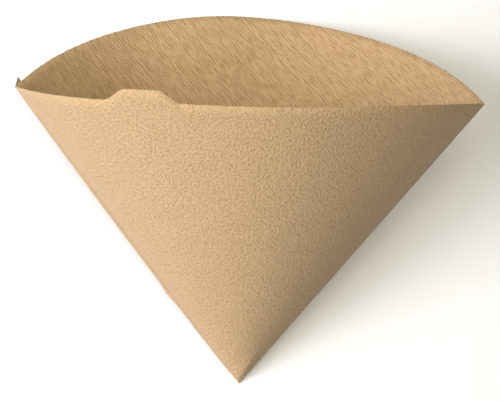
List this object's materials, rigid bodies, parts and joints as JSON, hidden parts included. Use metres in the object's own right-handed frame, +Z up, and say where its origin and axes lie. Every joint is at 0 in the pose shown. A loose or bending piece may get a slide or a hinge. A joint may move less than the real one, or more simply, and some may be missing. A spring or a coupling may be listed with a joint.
{
  "type": "paper coffee filter",
  "caption": "Cone-shaped paper coffee filter, opened out: a folded sheet with a crimped seam band and a low pull tab on its rim, lying on its rear wall.",
  "frame": {"origin": "on the middle line of the rear wall's flat strip, 61 mm from the tip, below the centre of weight; the filter lies on this strip", "axes": "+X from the seam side to the fold side, +Y from the tip to the mouth along the strip, +Z up out of the strip"},
  "size_m": [0.1337, 0.117, 0.089],
  "materials": {
    "paper": null
  },
  "bodies": {
    "root": {"filter_paper": "paper"}
  },
  "joints": []
}
